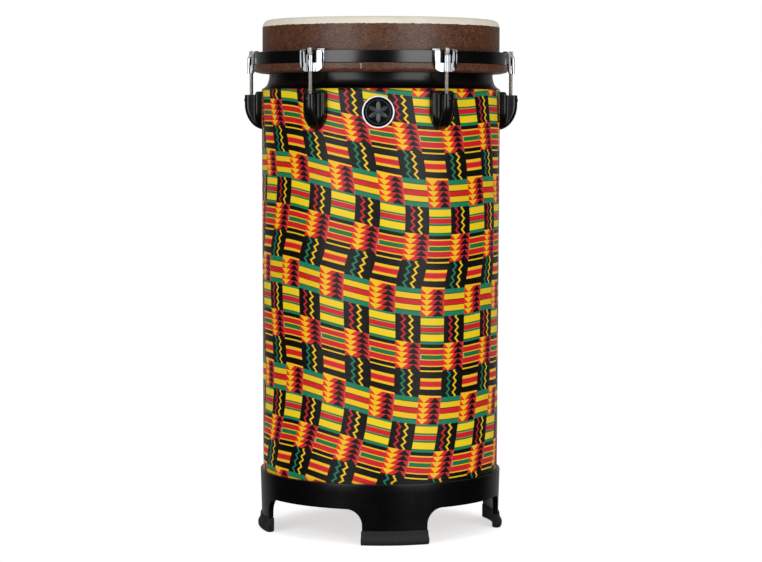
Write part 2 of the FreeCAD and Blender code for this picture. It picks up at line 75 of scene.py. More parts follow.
def reach(node):
    """How far a CAD node reaches along +X: a round one's radius."""
    return round(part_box(node)[1].x / MM, 1)


def half_width(node):
    """Half the width of a CAD node that sits on the +X side."""
    return round(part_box(node)[1].y / MM, 1)


# ---- driving sizes, read from the frame where a box gives them
SHELL_TOP = top("cloth_wrap")
SHELL_BOTTOM = bottom("cloth_wrap")
CLOTH_R_TOP = reach("cloth_wrap")
CLOTH_R_BOTTOM = 150.75
HEAD_TOP = top("head_skin")
SKIN_EDGE = top("head_collar")
COLLAR_R = reach("head_collar")
FLANGE_TOP = bottom("counter_hoop")
FLANGE_R = reach("flesh_hoop")
HOOP_TOP = top("counter_hoop")
HOOP_R = reach("counter_hoop")
BASE_TOP = top("base_ring")
BASE_BOTTOM = bottom("base_ring")
BASE_R = 153.6
BASE_R_TOP = reach("base_ring")
SHOE_TOP = top("foot_shoe_1")
HOOK_BOTTOM = bottom("hook_2")
HOOK_TOP = top("hook_2")
HOOK_HALF = half_width("hook_2")
HOOK_FRONT = reach("hook_2")
HOOK_BACK = round(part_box("hook_2")[0].x / MM, 1)
LUG_BOTTOM = bottom("lug_2")
LUG_TOP = top("lug_2")
LUG_HALF = half_width("lug_2")
ROD_END = bottom("tension_rod_1")
ROD_TOP = top("tension_rod_1")
BADGE_Z = (top("badge_rim") + bottom("badge_rim")) / 2
BADGE_R = (top("badge_rim") - bottom("badge_rim")) / 2
ROD_AXIS_R = 166.0
STATIONS = [30 + 60 * index for index in range(6)]
LEGS = [8.3 + 90 * index for index in range(4)]
LEG_HALF = 15.5
RING_STEPS = 288


# ---- mesh helpers
def polar(radius, degrees, z):
    angle = radians(degrees)
    return (radius * sin(angle), -radius * cos(angle), z)


def cloth_r(z):
    share = (z - SHELL_BOTTOM) / (SHELL_TOP - SHELL_BOTTOM)
    return CLOTH_R_BOTTOM + share * (CLOTH_R_TOP - CLOTH_R_BOTTOM)


def smoothstep(low, high, x):
    t = min(1.0, max(0.0, (x - low) / (high - low)))
    return t * t * (3 - 2 * t)


def steps(start, end, count):
    """count + 1 evenly spaced values."""
    return [start + (end - start) * i / count for i in range(count + 1)]


def quarter(x, y, across, up, count):
    """A quarter ellipse round (x, y), from its side at x + across to its end at y + up."""
    return [(x + across * cos(a), y + up * sin(a)) for a in steps(0, pi / 2, count)]


def curve_at(points, x):
    """A smooth curve through (x, y) points, level beyond its ends."""
    if x <= points[0][0]:
        return points[0][1]
    if x >= points[-1][0]:
        return points[-1][1]
    i = max(k for k in range(len(points) - 1) if points[k][0] <= x)

    def slope(k):
        a, b = points[max(0, k - 1)], points[min(len(points) - 1, k + 1)]
        return (b[1] - a[1]) / (b[0] - a[0])

    (x0, y0), (x1, y1) = points[i], points[i + 1]
    width = x1 - x0
    t = (x - x0) / width
    bend = (2 * t ** 3 - 3 * t ** 2 + 1) * y0 + (3 * t ** 2 - 2 * t ** 3) * y1
    return bend + width * ((t ** 3 - 2 * t ** 2 + t) * slope(i) + (t ** 3 - t ** 2) * slope(i + 1))


def rounded(corners, arc_steps=5):
    """A closed outline through (x, y, radius) corners, each rounded by its radius."""
    outline = []
    for i, (x, y, radius) in enumerate(corners):
        here = Vector((x, y))
        if radius == 0:
            outline.append((x, y))
            continue
        back = (Vector(corners[i - 1][:2]) - here).normalized()
        on = (Vector(corners[(i + 1) % len(corners)][:2]) - here).normalized()
        half = back.angle(on) / 2
        centre = here + (back + on).normalized() * radius / sin(half)
        start = here + back * radius / tan(half) - centre
        end = here + on * radius / tan(half) - centre
        turn = copysign(pi - 2 * half, start.x * end.y - start.y * end.x)
        for t in steps(0, turn, arc_steps):
            c, s = cos(t), sin(t)
            outline.append((centre.x + start.x * c - start.y * s, centre.y + start.x * s + start.y * c))
    return outline


def grid_faces(rows, columns, wrap_rows=False, wrap_columns=False):
    """Quads of a grid whose points are listed row by row."""
    faces = []
    for i in range(rows if wrap_rows else rows - 1):
        for j in range(columns if wrap_columns else columns - 1):
            a, b = i * columns, ((i + 1) % rows) * columns
            k = (j + 1) % columns
            faces.append((a + j, a + k, b + k, b + j))
    return faces


def clean(mesh, crease=35, closed=True):
    """Welds points, turns faces outwards and leaves only edges over the crease angle sharp."""
    bm = bmesh.new()
    bm.from_mesh(mesh)
    bmesh.ops.remove_doubles(bm, verts=bm.verts, dist=0.002 * MM)
    bmesh.ops.dissolve_degenerate(bm, edges=bm.edges, dist=0.001 * MM)
    if closed:
        bmesh.ops.recalc_face_normals(bm, faces=bm.faces)
    for face in bm.faces:
        face.smooth = True
    for e in bm.edges:
        if len(e.link_faces) == 2 and e.calc_face_angle() > radians(crease):
            e.smooth = False
    bm.to_mesh(mesh)
    bm.free()


def raw_mesh(name, points, faces):
    """A mesh from points in millimetres."""
    mesh = bpy.data.meshes.new(name)
    mesh.from_pydata([[c * MM for c in p] for p in points], [], faces)
    return mesh


def mesh_of(name, points, faces, crease=35):
    mesh = raw_mesh(name, points, faces)
    clean(mesh, crease)
    return mesh


def joined(parts):
    """One (points, faces) pair from several."""
    points, faces = [], []
    for more_points, more_faces in parts:
        start = len(points)
        points.extend(more_points)
        faces.extend(tuple(start + i for i in face) for face in more_faces)
    return points, faces


def lathe(outline, wobble=None, count=RING_STEPS):
    """Points and faces of a closed (r, z) outline turned round the axis."""
    points = []
    for step in range(count):
        degrees = 360.0 * step / count
        for r, z in outline:
            if wobble:
                r, z = wobble(degrees, r, z)
            points.append(polar(r, degrees, z))
    return points, grid_faces(count, len(outline), wrap_rows=True, wrap_columns=True)


def in_scene(name, data):
    made = bpy.data.objects.new(name, data)
    bpy.context.scene.collection.objects.link(made)
    return made


def place(name, mesh, material, body, node, turn=0.0):
    """Puts a mesh into the scene on its body, in place of its CAD node."""
    piece = in_scene(name, mesh)
    if not mesh.materials:
        mesh.materials.append(material)
    piece.matrix_world = Matrix.Rotation(radians(turn), 4, "Z")
    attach(piece, body)
    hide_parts(node)
    return piece


def build(name, shape, material, body, node, crease=35):
    """A piece from the points and faces of its shape."""
    return place(name, mesh_of(name, *shape, crease), material, body, node)


def thicken(piece, thickness):
    """Gives a sheet its thickness, behind its face."""
    modifier = piece.modifiers.new("thickness", "SOLIDIFY")
    modifier.thickness = thickness * MM
    modifier.offset = -1


def bevel(piece, width, segments, angle):
    """Rounds the piece's edges that are sharper than angle degrees."""
    modifier = piece.modifiers.new("rounded_edges", "BEVEL")
    modifier.width = width * MM
    modifier.segments = segments
    modifier.limit_method = "ANGLE"
    modifier.angle_limit = radians(angle)
    modifier.harden_normals = True
    modifier.use_clamp_overlap = True


# ---- material helpers
def srgb(red, green, blue):
    """Linear colour from 0 to 255 display values."""
    def linear(value):
        value /= 255
        return value / 12.92 if value <= 0.04045 else ((value + 0.055) / 1.055) ** 2.4
    return (linear(red), linear(green), linear(blue), 1.0)


def math_node(operation):
    """A method that puts numbers through one kind of Math node."""
    return lambda self, *others: self.math(operation, *others)


class Num:
    """A number inside a material, so that a pattern can be written as a formula."""

    def __init__(self, tree, socket):
        self.tree = tree
        self.socket = socket

    def math(self, operation, *others):
        node = self.tree.nodes.new("ShaderNodeMath")
        node.operation = operation
        for value, slot in zip((self, *others), node.inputs):
            if isinstance(value, Num):
                self.tree.links.new(value.socket, slot)
            else:
                slot.default_value = value
        return Num(self.tree, node.outputs[0])

    __add__ = math_node("ADD")
    __sub__ = math_node("SUBTRACT")
    __mul__ = math_node("MULTIPLY")
    __truediv__ = math_node("DIVIDE")
    less = math_node("LESS_THAN")
    more = math_node("GREATER_THAN")
    at_least = math_node("MAXIMUM")
    floor = math_node("FLOOR")
    fract = math_node("FRACT")
    abs = math_node("ABSOLUTE")
    sin = math_node("SINE")
    sqrt = math_node("SQRT")


def first_of(tree, kind):
    return next(node for node in tree.nodes if node.type == kind)


def parts_of(tree, vector):
    """The three parts of a vector, as numbers."""
    split = tree.nodes.new("ShaderNodeSeparateXYZ")
    tree.links.new(vector, split.inputs[0])
    return [Num(tree, part) for part in split.outputs]


def set_inputs(node, **values):
    """Sets inputs by name, with _ for a space."""
    for name, value in values.items():
        node.inputs[name.replace("_", " ")].default_value = value


class Look:
    """A Principled material under construction."""

    def __init__(self, name, **constants):
        self.material = bpy.data.materials.new(name)
        self.material.use_nodes = True
        self.tree = self.material.node_tree
        self.shader = first_of(self.tree, "BSDF_PRINCIPLED")
        set_inputs(self.shader, **constants)

    def node(self, kind, **settings):
        made = self.tree.nodes.new("ShaderNode" + kind)
        for name, value in settings.items():
            setattr(made, name, value)
        return made

    def link(self, source, target):
        self.tree.links.new(source.socket if isinstance(source, Num) else source, target)

    def texture(self, kind, output, scale=(1, 1, 1), **inputs):
        """A texture over the piece's own coordinates in millimetres, times scale."""
        mapping = self.node("Mapping")
        set_inputs(mapping, Scale=[s / MM for s in scale])
        self.link(self.node("TexCoord").outputs["Object"], mapping.inputs["Vector"])
        made = self.node(kind)
        set_inputs(made, **inputs)
        self.link(mapping.outputs[0], made.inputs["Vector"])
        return Num(self.tree, made.outputs[output])

    def noise(self, size, scale=(1, 1, 1), detail=2.0, roughness=0.55):
        """Noise from 0 to 1 with features of about size millimetres."""
        return self.texture("TexNoise", "Fac", scale, Scale=1.0 / size, Detail=detail, Roughness=roughness)

    def cells(self, size):
        """Distance to the nearest of scattered points about size millimetres apart."""
        return self.texture("TexVoronoi", "Distance", Scale=1.0 / size)

    def ramp(self, factor, stops, step=False):
        """Colours along factor; with step, each colour holds until the next stop."""
        made = self.node("ValToRGB")
        ramp = made.color_ramp
        ramp.interpolation = "CONSTANT" if step else "LINEAR"
        while len(ramp.elements) > 1:
            ramp.elements.remove(ramp.elements[-1])
        for index, (position, colour) in enumerate(stops):
            element = ramp.elements[0] if index == 0 else ramp.elements.new(position)
            element.position = position
            element.color = colour
        self.link(factor, made.inputs[0])
        return made.outputs[0]

    def mix(self, factor, first, second, blend="MIX"):
        """first where factor is 0, second where it is 1; the numbers are the node's colour sockets."""
        made = self.node("Mix", data_type="RGBA", blend_type=blend)
        for value, socket in ((factor, 0), (first, 6), (second, 7)):
            if isinstance(value, (tuple, float)):
                made.inputs[socket].default_value = value
            else:
                self.link(value, made.inputs[socket])
        return made.outputs[2]

    def number(self, factor, low, high):
        """factor from 0..1 spread over low..high."""
        made = self.node("MapRange")
        set_inputs(made, To_Min=low, To_Max=high)
        self.link(factor, made.inputs["Value"])
        return Num(self.tree, made.outputs[0])

    def colour(self, source):
        self.link(source, self.shader.inputs["Base Color"])

    def roughness(self, factor, low, high):
        self.link(self.number(factor, low, high), self.shader.inputs["Roughness"])

    def bump(self, height, depth, strength):
        """Relief of depth millimetres where height runs from 0 to 1."""
        made = self.node("Bump")
        set_inputs(made, Strength=strength, Distance=depth * MM)
        self.link(height, made.inputs["Height"])
        self.link(made.outputs[0], self.shader.inputs["Normal"])


# ---- the printed cloth
YELLOW = srgb(230, 187, 0)
LEMON = srgb(233, 199, 0)
GOLD = srgb(246, 178, 0)
AMBER = srgb(244, 150, 40)
RED = srgb(200, 14, 20)
ORANGE_RED = srgb(220, 30, 10)
ROSE = srgb(188, 22, 32)
GREEN = srgb(8, 122, 88)
OLIVE = srgb(12, 116, 44)
SEA = srgb(84, 140, 120)
LEAF = srgb(4, 110, 58)
BLACK = srgb(8, 7, 7)
PALE = srgb(176, 160, 120)

COLUMN_DEG = 12.0
FIRST_COLUMN = 20.2
ROW_PITCH = 33.5
BLOCKS = 4
THREAD = 0.85

# A block's stripes from its top down: (share of its height, colour).
WIDE_STRIPES = [
    (0, GREEN), (.165, BLACK), (.185, YELLOW), (.39, BLACK), (.415, RED), (.59, BLACK), (.61, YELLOW),
    (.81, BLACK), (.835, GREEN),
]
BRIGHT_STRIPES = [
    (0, GREEN), (.075, LEMON), (.325, OLIVE), (.385, PALE), (.41, RED), (.59, SEA), (.615, OLIVE),
    (.675, LEMON), (.92, OLIVE), (.965, GREEN),
]
THIN_STRIPES = [
    (0, GREEN), (.035, BLACK), (.17, YELLOW), (.2, AMBER), (.225, RED), (.405, YELLOW), (.435, LEAF),
    (.59, YELLOW), (.625, RED), (.815, AMBER), (.84, YELLOW), (.86, BLACK),
]
DARK_STRIPES = [
    (0, YELLOW), (.05, BLACK), (.29, YELLOW), (.37, AMBER), (.41, RED), (.6, AMBER), (.63, YELLOW),
    (.7, BLACK),
]

# Height of the print's row line round the shell: (degrees, millimetres).
ROW_LINE = [
    (-182, 331), (-130, 345), (-79, 353.5), (-53, 352.5), (-41, 349.6), (-17, 336), (8, 321.2),
    (26, 315.7), (44, 316.3), (61, 319.2), (78, 318.8), (130, 324), (186, 338),
]
# Left of the badge the rows hang lower under the neck and ride higher near the floor, in millimetres.
NECK_SAG = 5.0
FLOOR_LIFT = 2.2
# How far the print's columns wander on their way down, at either side: (row, degrees).
LEFT_DRIFT = [
    (-7, -1.5), (-6, -0.7), (-5, 2.5), (-3, 7.3), (-1, 2.8), (0, -0.9), (2, -0.4), (4, 3.1), (5, 3.1),
    (6, 0.9), (8, -7.8),
]
RIGHT_DRIFT = [
    (-7, -5.7), (-5, -0.4), (-3, 3), (-2, 3.6), (-1, 3), (0, 0.8), (2, 0.1), (4, -2.1), (6, -6.3),
    (8, -12.4),
]


def print_place(degrees, z):
    """Column and row of the print at a place on the shell, as whole numbers plus a share."""
    sag = NECK_SAG * smoothstep(430, 540, z) * smoothstep(25, -20, degrees)
    lift = FLOOR_LIFT * smoothstep(300, 210, z) * smoothstep(-58, -30, degrees) * smoothstep(16, -20, degrees)
    row = (curve_at(ROW_LINE, degrees) - sag + lift - z) / ROW_PITCH
    left, right = curve_at(LEFT_DRIFT, row), curve_at(RIGHT_DRIFT, row)
    drift = left + (right - left) * smoothstep(-95, 75, degrees)
    return (degrees - drift - FIRST_COLUMN) / COLUMN_DEG, row


def thin_block(look, across, down):
    """Thin stripes with a short pale end at the middle of the left side."""
    pale_end = across.less(0.045) * (down - 0.51).abs().less(0.1)
    return look.mix(pale_end, look.ramp(down, THIN_STRIPES, step=True), PALE)


def dark_block(look, across, down):
    """Stripes that stop short of the block's sides, above the gold edge of the block below."""
    inset = (across - 0.5).abs().more(0.465) * down.more(0.2)
    stripes = look.mix(inset, look.ramp(down, DARK_STRIPES, step=True), BLACK)
    gold_edge = (down - across * 0.03).more(0.915)
    return look.mix(gold_edge, stripes, GOLD)


def triangle_block(look, across, down):
    """Five gold triangles pointing down, beside five black ones pointing up, on shaded red."""
    cell = (down * 5).fract()
    ground = look.mix(across.less(0.5), ROSE, ORANGE_RED)
    ground = look.mix((cell * 0.55) * (across * 2).fract(), ground, RED)
    edge_line = (across - 0.965).abs().less(0.014)
    ground = look.mix(edge_line * 0.22, ground, PALE)
    up = (across - 0.73).abs().less(cell * 0.235)
    down_point = (across - 0.245).abs().less((cell - 1).abs() * 0.245)
    return look.mix(down_point, look.mix(up, ground, BLACK), look.mix(cell, YELLOW, GOLD))


def zigzag_block(look, across, down, first_colour):
    """Two zigzags running down a black ground, the second one yellow."""
    line_half = 0.046
    wave = ((down * 3.75 - 0.15).fract() - 0.5).abs() * 2
    swing = wave * -0.14 + 0.07
    first = (across - swing - 0.31).abs().less(line_half)
    second = (across - swing - 0.615).abs().less(line_half)
    return look.mix(second, look.mix(first, BLACK, first_colour), YELLOW)


def chosen(look, block, colours):
    """The colour that block, a whole number from 0, counts to in the list."""
    colour = colours[0]
    for index, other in enumerate(colours[1:], 1):
        is_here = block.math("COMPARE", index, 0.5)
        colour = look.mix(is_here, colour, other)
    return colour


def kente_print(look, column, row):
    """The print's colour: even and odd columns each run down through their own four blocks."""
    across = column.fract()
    down = row.fract()
    block = (row.floor() / BLOCKS).fract() * BLOCKS
    triangles = triangle_block(look, across, down)
    bright = look.ramp(down, BRIGHT_STRIPES, step=True)
    wide = look.ramp(down, WIDE_STRIPES, step=True)
    even = chosen(look, block, [
        triangles, bright, thin_block(look, across, down), dark_block(look, across, down),
    ])
    odd = chosen(look, block, [
        wide, zigzag_block(look, across, down, ROSE), triangles, zigzag_block(look, across, down, GREEN),
    ])
    odd_column = (column.floor() / 2).fract().more(0.25)
    return look.mix(odd_column, even, odd)


def kente_look():
    """Printed cotton: the print with frayed edges, on a fine weave with slubs, with painted shade in the dips
    between threads and pale specks painted as glints on the raised flecks.
    """
    look = Look("kente_cloth", Specular_IOR_Level=0.37)
    column, row, _ = parts_of(look.tree, look.node("UVMap", uv_map="print").outputs[0])
    column += (look.noise(0.9, detail=1.0) - 0.5) * 0.012
    row += (look.noise(1.1, detail=1.0) - 0.5) * 0.014
    colour = kente_print(look, column, row)

    warp_turns = COLUMN_DEG * radians(1) * CLOTH_R_TOP / THREAD * pi
    weft_turns = ROW_PITCH / THREAD * pi
    weave = (column * warp_turns).sin().abs() * (row * weft_turns).sin().abs()
    slub = look.noise(2.2, scale=(1, 1, 6))
    patches = look.noise(28.0)
    fleck_and_glint = look.noise(0.9, detail=3.0, roughness=0.7)
    # The pale specks where the flecks rise are painted glints on the raised fibres; the same flecks also vary
    # the roughness and bump.
    colour = look.mix((fleck_and_glint - 0.5).at_least(0.0) * 0.16, colour, PALE)
    # The weave's part of this factor is painted shade in the dips between threads; the slubs and patches are
    # the cloth's random tone.
    weave_shade_and_tone = look.number(weave, 0.8, 1.04) * look.number(slub, 0.9, 1.1)
    weave_shade_and_tone = weave_shade_and_tone * look.number(patches, 0.93, 1.07)
    look.colour(look.mix(1.0, colour, weave_shade_and_tone, blend="MULTIPLY"))
    look.roughness(slub * 0.4 + fleck_and_glint * 0.6, 0.14, 0.48)
    look.bump(weave * 0.6 + slub * 0.7 + fleck_and_glint * 0.7, 0.2, 0.5)
    return look.material


# ---- other materials
def grain_black(name, tone, rough, size, depth, specular=0.5):
    """Black moulded plastic or coating with a fine surface texture."""
    look = Look(name, Specular_IOR_Level=specular)
    grain = look.noise(size)
    broad = look.noise(22.0)
    pale = tuple(c * 1.8 for c in tone[:3]) + (1.0,)
    look.colour(look.ramp(grain * 0.5 + broad * 0.5, [(0.3, tone), (0.75, pale)]))
    look.roughness(broad * 0.6 + grain * 0.4, rough - 0.07, rough + 0.07)
    look.bump(grain + look.cells(size * 2.2) * 0.5, depth, 0.6)
    return look.material


def metal(name, tone, rough, wear, size, depth, metallic=1.0, ripple=0.0):
    """Plated steel: faint cloudiness, fine scratches and pressed sheet's slow ripple, in millimetres."""
    look = Look(name, Metallic=metallic)
    cloud = look.noise(7.0, detail=3.0)
    scratch = look.noise(size, scale=(1, 1, 0.12), detail=4.0)
    dark = tuple(c * (1 - wear) for c in tone[:3]) + (1.0,)
    look.colour(look.ramp(cloud * 0.55 + scratch * 0.45, [(0.3, dark), (0.62, tone)]))
    look.roughness(scratch * 0.6 + cloud * 0.4, rough, rough * 2.1)
    wave = look.noise(6.0, scale=(1, 1, 0.35), detail=1.0)
    look.bump(scratch * depth + wave * ripple, 1.0, 0.6)
    return look.material


def film_look(name, deep, warm, light, rough):
    """Brown synthetic skin: mottled, finely speckled, with a faint level grain."""
    look = Look(name, Specular_IOR_Level=0.5)
    mottle = look.noise(10.0)
    speckle = look.noise(1.5, scale=(1, 1, 1.6), roughness=0.7)
    grain = look.noise(5.0, scale=(1, 1, 4), roughness=0.7)
    tone = look.ramp(mottle * 0.1 + speckle * 0.6 + grain * 0.3, [(0.36, deep), (0.5, warm), (0.64, light)])
    pores = look.cells(1.3).less(0.16)
    look.colour(look.mix(pores * 0.35, tone, deep))
    look.roughness(speckle, rough - 0.06, rough + 0.08)
    look.bump(speckle * 0.6 + grain * 0.5, 0.1, 0.5)
    return look.material


def skin_look():
    look = Look("cream_film", Specular_IOR_Level=0.35)
    mottle = look.noise(16.0, detail=4.0)
    fibre = look.noise(1.4, scale=(1, 0.35, 1), detail=4.0)
    look.colour(look.ramp(mottle * 0.5 + fibre * 0.5, [
        (0.25, srgb(198, 191, 172)), (0.5, srgb(210, 204, 188)), (0.75, srgb(220, 215, 201)),
    ]))
    look.roughness(fibre, 0.5, 0.68)
    look.bump(fibre + look.noise(0.6, detail=3.0) * 0.5, 0.06, 0.4)
    return look.material


def board_look():
    """Raw wood-fibre tube: spiral-wound plies with short dark fibres."""
    look = Look("shell_board")
    fibre = look.noise(1.6, scale=(1, 1, 0.3), detail=4.0, roughness=0.65)
    patch = look.noise(24.0, detail=3.0)
    look.colour(look.ramp(fibre * 0.6 + patch * 0.4, [
        (0.3, srgb(112, 80, 52)), (0.52, srgb(150, 114, 78)), (0.72, srgb(176, 140, 100)),
    ]))
    look.roughness(fibre, 0.72, 0.92)
    look.bump(fibre, 0.25, 0.6)
    return look.material


def rubber_look():
    look = Look("foot_rubber", Specular_IOR_Level=0.4)
    dust = look.noise(5.0, detail=4.0)
    pore = look.noise(0.5)
    look.colour(look.ramp(dust * 0.6 + pore * 0.4, [(0.35, srgb(15, 15, 15)), (0.7, srgb(34, 34, 35))]))
    look.roughness(dust, 0.55, 0.78)
    look.bump(pore, 0.08, 0.6)
    return look.material


KENTE = kente_look()
MOULDING = grain_black("black_moulding", srgb(3, 3, 3), 0.26, 0.5, 0.03, specular=0.45)
LUG_BLACK = grain_black("black_lug", srgb(4, 4, 4), 0.22, 0.9, 0.02)
ENAMEL = grain_black("black_enamel", srgb(4, 4, 4), 0.2, 0.9, 0.06, specular=0.75)
CHROME = metal("chrome_plate", srgb(208, 211, 216), 0.05, 0.14, 0.5, 0.005, ripple=0.8)
SATIN = metal("satin_nickel", srgb(240, 241, 242), 0.28, 0.06, 0.5, 0.006, metallic=0.45)
ETCHED = metal("etched_nickel", srgb(80, 83, 87), 0.26, 0.2, 0.5, 0.006)
ZINC = metal("zinc_rod", srgb(206, 200, 190), 0.24, 0.3, 0.35, 0.01)
FILM = film_look("brown_film", srgb(28, 14, 7), srgb(74, 41, 23), srgb(128, 80, 50), 0.4)
GLUE = film_look("seam_glue", srgb(120, 92, 74), srgb(150, 124, 104), srgb(178, 154, 134), 0.35)
SKIN = skin_look()
BOARD = board_look()
RUBBER = rubber_look()


# ---- cloth
def make_cloth():
    """The print, wrapped once round the shell with its end lapped over its start at the back."""
    lap_deg = 4.0
    lift = 0.5
    angles = steps(-180, 180 + lap_deg, 368)
    heights = steps(SHELL_BOTTOM, SHELL_TOP, 104)
    points = []
    places = []
    for z in heights:
        for degrees in angles:
            lapped = smoothstep(180 - lap_deg, 180, degrees) * lift
            ripple = 0.06 * noise.noise(Vector(polar(2.2, degrees, z * 0.02)))
            points.append(polar(cloth_r(z) + lapped + ripple, degrees, z))
            places.append(print_place(degrees, z))
    mesh = raw_mesh("cloth_wrap_print", points, grid_faces(len(heights), len(angles)))
    layer = mesh.uv_layers.new(name="print")
    for loop in mesh.loops:
        layer.data[loop.index].uv = places[loop.vertex_index]
    clean(mesh, closed=False)
    cloth = place("cloth_print", mesh, KENTE, "drum", "cloth_wrap")
    thicken(cloth, 0.4)


# ---- neck and head
def make_neck():
    """Bearing edge ring: spigot, lip on the shell's rim, flared neck and the rounded bearing edge."""
    spigot_bottom = bottom("bearing_edge_ring")
    crest_top = top("bearing_edge_ring")
    bore_r = 137.9
    spigot_r = 143.7
    neck_r = 142.7
    crest_r = 146.5
    lip_r = CLOTH_R_TOP - 0.3
    lip_top = SHELL_TOP + 1.4
    flare_top = lip_top + 17.0
    outline = rounded([
        (bore_r, spigot_bottom, 0.8), (spigot_r - 0.1, spigot_bottom, 0.8), (spigot_r, SHELL_TOP, 0),
        (lip_r, SHELL_TOP, 0.4), (lip_r, lip_top, 0.3),
    ])
    outline += quarter(lip_r, flare_top, neck_r - lip_r, lip_top - flare_top, 10)[::-1][1:]
    crest = rounded([
        (neck_r, crest_top - 20.4, 2), (crest_r, crest_top - 14.4, 2), (crest_r, crest_top - 1.9, 3),
        (142, crest_top, 1.5), (bore_r, crest_top - 5.4, 1),
    ])
    # The crest's first arc begins inside the ring, so its first half is left out.
    outline += crest[3:]
    build("neck_ring", lathe(outline), MOULDING, "drum", "bearing_edge_ring")


def ragged(degrees):
    """Small irregular offset round a cut edge."""
    coarse = noise.noise(Vector(polar(9, degrees, 0)))
    fine = noise.noise(Vector(polar(42, degrees, 5)))
    finest = noise.noise(Vector(polar(110, degrees, 9)))
    return 0.75 * (0.4 * coarse + 0.8 * fine + 0.7 * finest)


def make_head():
    """Cream skin, and the brown film's skirt that ends in a hand-cut edge round it."""
    film = 0.8
    shoulder = 8.7
    outer = COLLAR_R - 0.25
    inner = outer - film + 0.3
    skin_bottom = SKIN_EDGE - 6
    skin = rounded([
        (0, HEAD_TOP, 0), (outer, HEAD_TOP, shoulder), (outer, skin_bottom, 0.2), (inner, skin_bottom, 0.2),
        (inner, HEAD_TOP - film, shoulder - film), (0, HEAD_TOP - film, 0),
    ], arc_steps=10)
    flat = [(r, HEAD_TOP) for r in steps(0, outer - shoulder, 8)[1:-1]]
    skin = lathe(skin[:1] + flat + skin[1:])
    build("head_skin_film", skin, SKIN, "head", "head_skin")

    def cut_edge(degrees, r, z):
        if z > SKIN_EDGE - 1:
            return r, z + ragged(degrees)
        return r + 0.12 * noise.noise(Vector(polar(2.5, degrees, z * 0.05))), z

    thin_r = COLLAR_R - 0.22
    skirt = rounded([
        (COLLAR_R, FLANGE_TOP, 0), (COLLAR_R, SKIN_EDGE, 0.2), (thin_r, SKIN_EDGE, 0.1),
        (thin_r, skin_bottom + 1, 0), (COLLAR_R - film, skin_bottom, 0), (COLLAR_R - film, FLANGE_TOP, 0),
    ])
    side = [(COLLAR_R, z) for z in steps(FLANGE_TOP, SKIN_EDGE - 2, 6)[1:]]
    skirt = lathe(skirt[:1] + side + skirt[1:], cut_edge, 720)
    build("head_skirt", skirt, FILM, "head", "head_collar")


def make_flesh_hoop():
    """Flesh hoop: the brown flange under the counter hoop, and the sleeve that holds the film."""
    bore_r = 147.2
    sleeve_r = COLLAR_R - 1.0
    sleeve_top = top("flesh_hoop")
    flange_bottom = bottom("flesh_hoop")
    flesh = rounded([
        (bore_r, flange_bottom, 0.6), (FLANGE_R - 8, flange_bottom + 0.5, 3),
        (FLANGE_R, flange_bottom + 2.5, 3.2), (FLANGE_R, FLANGE_TOP, 0.8), (sleeve_r, FLANGE_TOP, 0),
        (sleeve_r, sleeve_top, 0.5), (bore_r, sleeve_top, 0.5),
    ])

    def uneven(degrees, r, z):
        return r - 0.15 * abs(noise.noise(Vector(polar(3, degrees, z * 0.1)))), z

    build("flesh_hoop_ring", lathe(flesh, uneven), FILM, "head", "flesh_hoop")


def make_seam():
    """The pale glued seam across the flesh hoop's edge: a low ridge left of the badge."""
    seam_deg = -7.4
    half = 0.26
    ridge = 0.16
    rows = []
    for drop, proud in ((1.0, 0.0), (1.6, ridge), (6.5, ridge), (7.3, 0.0)):
        profile = ((-half, 0.0), (-half / 2, proud), (half / 2, proud), (half, 0.0))
        rows.append([polar(FLANGE_R - 0.1 + out, seam_deg + d, FLANGE_TOP - drop) for d, out in profile])
    build("flesh_hoop_seam", loft(rows), GLUE, "head", "flesh_hoop")


def make_counter_hoop():
    inner_r = HOOP_R - 3.0
    hoop = rounded([
        (inner_r, FLANGE_TOP, 0.7), (HOOP_R, FLANGE_TOP, 0.7),
        (HOOP_R, HOOP_TOP, 0.8), (inner_r, HOOP_TOP, 0.8),
    ])
    build("counter_hoop_band", lathe(hoop), ENAMEL, "head", "counter_hoop", crease=50)


# ---- hooks, modelled on the +X side
SLOT_Z = 592.5
SLOT_Y = 8.6
CHANNEL_FOOT = 5.4
CHANNEL_HALF = 4.2
CHANNEL_ROUND = 2.4


def hook_half_width(z):
    """U-shaped front view: full width above, narrowing round its bottom corners."""
    corner = 12.5
    flat_half = 6.5
    up = min(1.0, (z - HOOK_BOTTOM) / corner)
    return flat_half + (HOOK_HALF - flat_half) * sqrt(1 - (1 - up) ** 2)


def arch(y):
    """Front face of the arched plate, falling back towards its sides."""
    return 165.6 - 2.4 * (y / HOOK_HALF) ** 2 - 0.7 * smoothstep(13.0, 18.5, abs(y))


def wing_ys(z):
    """Places across one wing, from its outer edge to the slot."""
    half = hook_half_width(z)
    slot_share = (SLOT_Y - CHANNEL_FOOT) / (HOOK_HALF - CHANNEL_FOOT)
    slot_y = CHANNEL_FOOT + (half - CHANNEL_FOOT) * slot_share
    return [slot_y + (half - slot_y) * f for f in (1, .88, .74, .56, .3, 0)]


def channel_outline():
    """Plan of the channel as (y, x), from its right foot over its front to its left foot."""
    fillet = 1.2
    base = arch(CHANNEL_FOOT)
    side_end = HOOK_FRONT - CHANNEL_ROUND
    inner = CHANNEL_HALF - CHANNEL_ROUND
    half = quarter(CHANNEL_FOOT, base + fillet, -fillet, -fillet, 3)[::-1]
    half += [(CHANNEL_HALF, 0.5 * (base + fillet + side_end))]
    half += quarter(inner, side_end, CHANNEL_ROUND, CHANNEL_ROUND, 5)
    half += [(inner / 2, HOOK_FRONT)]
    return half + [(0, HOOK_FRONT)] + [(-y, x) for y, x in reversed(half)]


